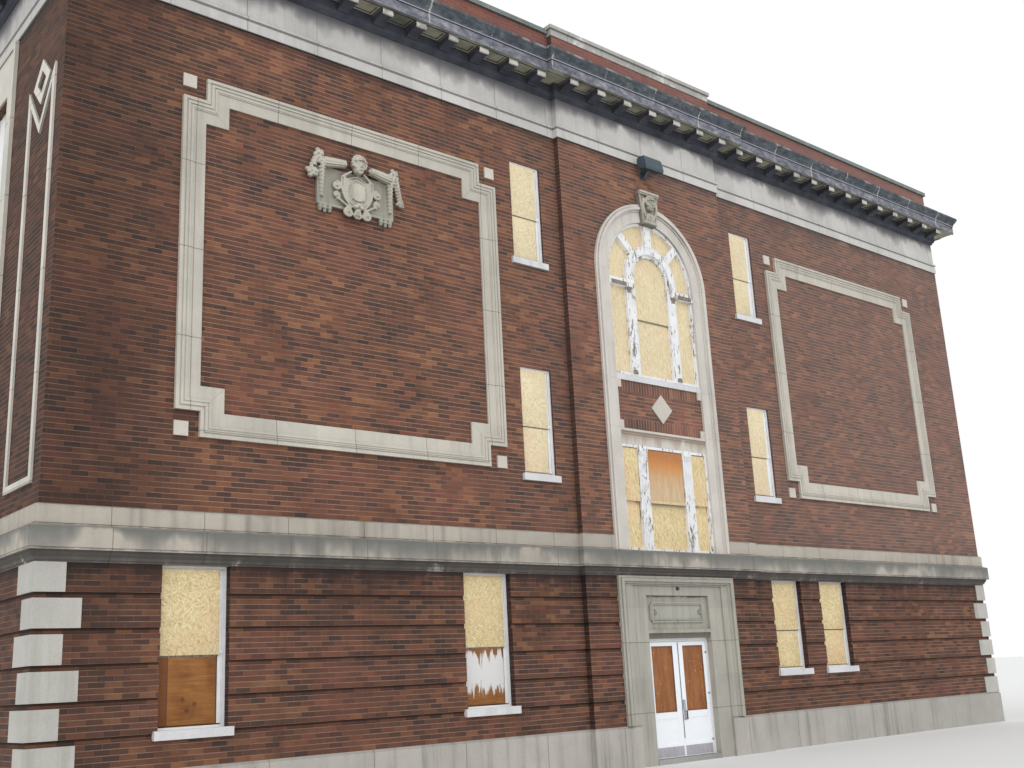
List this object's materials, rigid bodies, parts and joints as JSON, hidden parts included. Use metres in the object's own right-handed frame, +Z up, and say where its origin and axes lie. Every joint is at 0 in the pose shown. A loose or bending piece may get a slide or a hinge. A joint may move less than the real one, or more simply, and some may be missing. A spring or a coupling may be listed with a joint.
{
  "type": "school building",
  "caption": "Brick and limestone school building with a bracketed cornice, arched pavilion window, eared stone panel frames and a pair of hinged entrance doors.",
  "frame": {"origin": "ground level, under the middle of the whole building's box", "axes": "+Z up, +X to the right along the front, +Y from the front to the back; the entrance front faces -Y"},
  "size_m": [23.5, 31.315, 13.6725],
  "materials": {
    "limestone": "matte",
    "brick": "matte",
    "weathered_stone": "matte",
    "concrete": "matte",
    "painted_wood": "satin",
    "strand_board": "matte",
    "plywood": "matte",
    "steel": "satin",
    "lamp_metal": "satin"
  },
  "bodies": {
    "building": {"plinth": "limestone", "ground_wall_front_left": "brick", "ground_wall_front_right": "brick", "ground_wall_pavilion": "brick", "ground_wall_left": "brick", "ground_wall_right": "brick", "ground_wall_back": "brick", "corner_quoins": "limestone", "belt_course": "limestone", "upper_wall_front_left": "brick", "upper_wall_front_right": "brick", "pavilion_wall": "brick", "upper_wall_left": "brick", "upper_wall_right": "brick", "upper_wall_back": "brick", "architrave_and_frieze": "limestone", "cornice": "weathered_stone", "parapet": "brick", "parapet_coping": "weathered_stone", "roof_slab": "concrete", "floor_slabs": "concrete", "panel_frames": "limestone", "accent_blocks": "limestone", "cartouche": "limestone", "arch_surround": "limestone", "arch_keystone": "limestone", "arch_window_frame": "painted_wood", "pavilion_boards": "strand_board", "spandrel_panel": "brick", "pavilion_lintel": "limestone", "lower_window_frame": "painted_wood", "door_surround": "limestone", "door_lintel": "limestone", "door_tablet": "limestone", "door_frame": "painted_wood", "door_threshold": "concrete", "door_hinge_pins": "steel", "front_window_frames": "painted_wood", "window_boards": "strand_board", "plywood_boards": "plywood", "window_sills": "limestone", "bay_surrounds": "limestone", "bay_window_frames": "painted_wood", "corner_strips": "limestone", "floodlight": "lamp_metal"},
    "door_left": {"door_leaf_left": "painted_wood", "door_fittings_left": "steel"},
    "door_right": {"door_leaf_right": "painted_wood", "door_fittings_right": "steel"}
  },
  "joints": [
    {"name": "door_left_hinge", "type": "hinge", "parent": "building", "child": "door_left", "pos_m": [-0.766, -14.9865, 0.088], "axis": [0, 0, -1], "range_deg": [0, 90]},
    {"name": "door_right_hinge", "type": "hinge", "parent": "building", "child": "door_right", "pos_m": [0.766, -14.9865, 0.088], "axis": [0, 0, 1], "range_deg": [0, 90]}
  ]
}
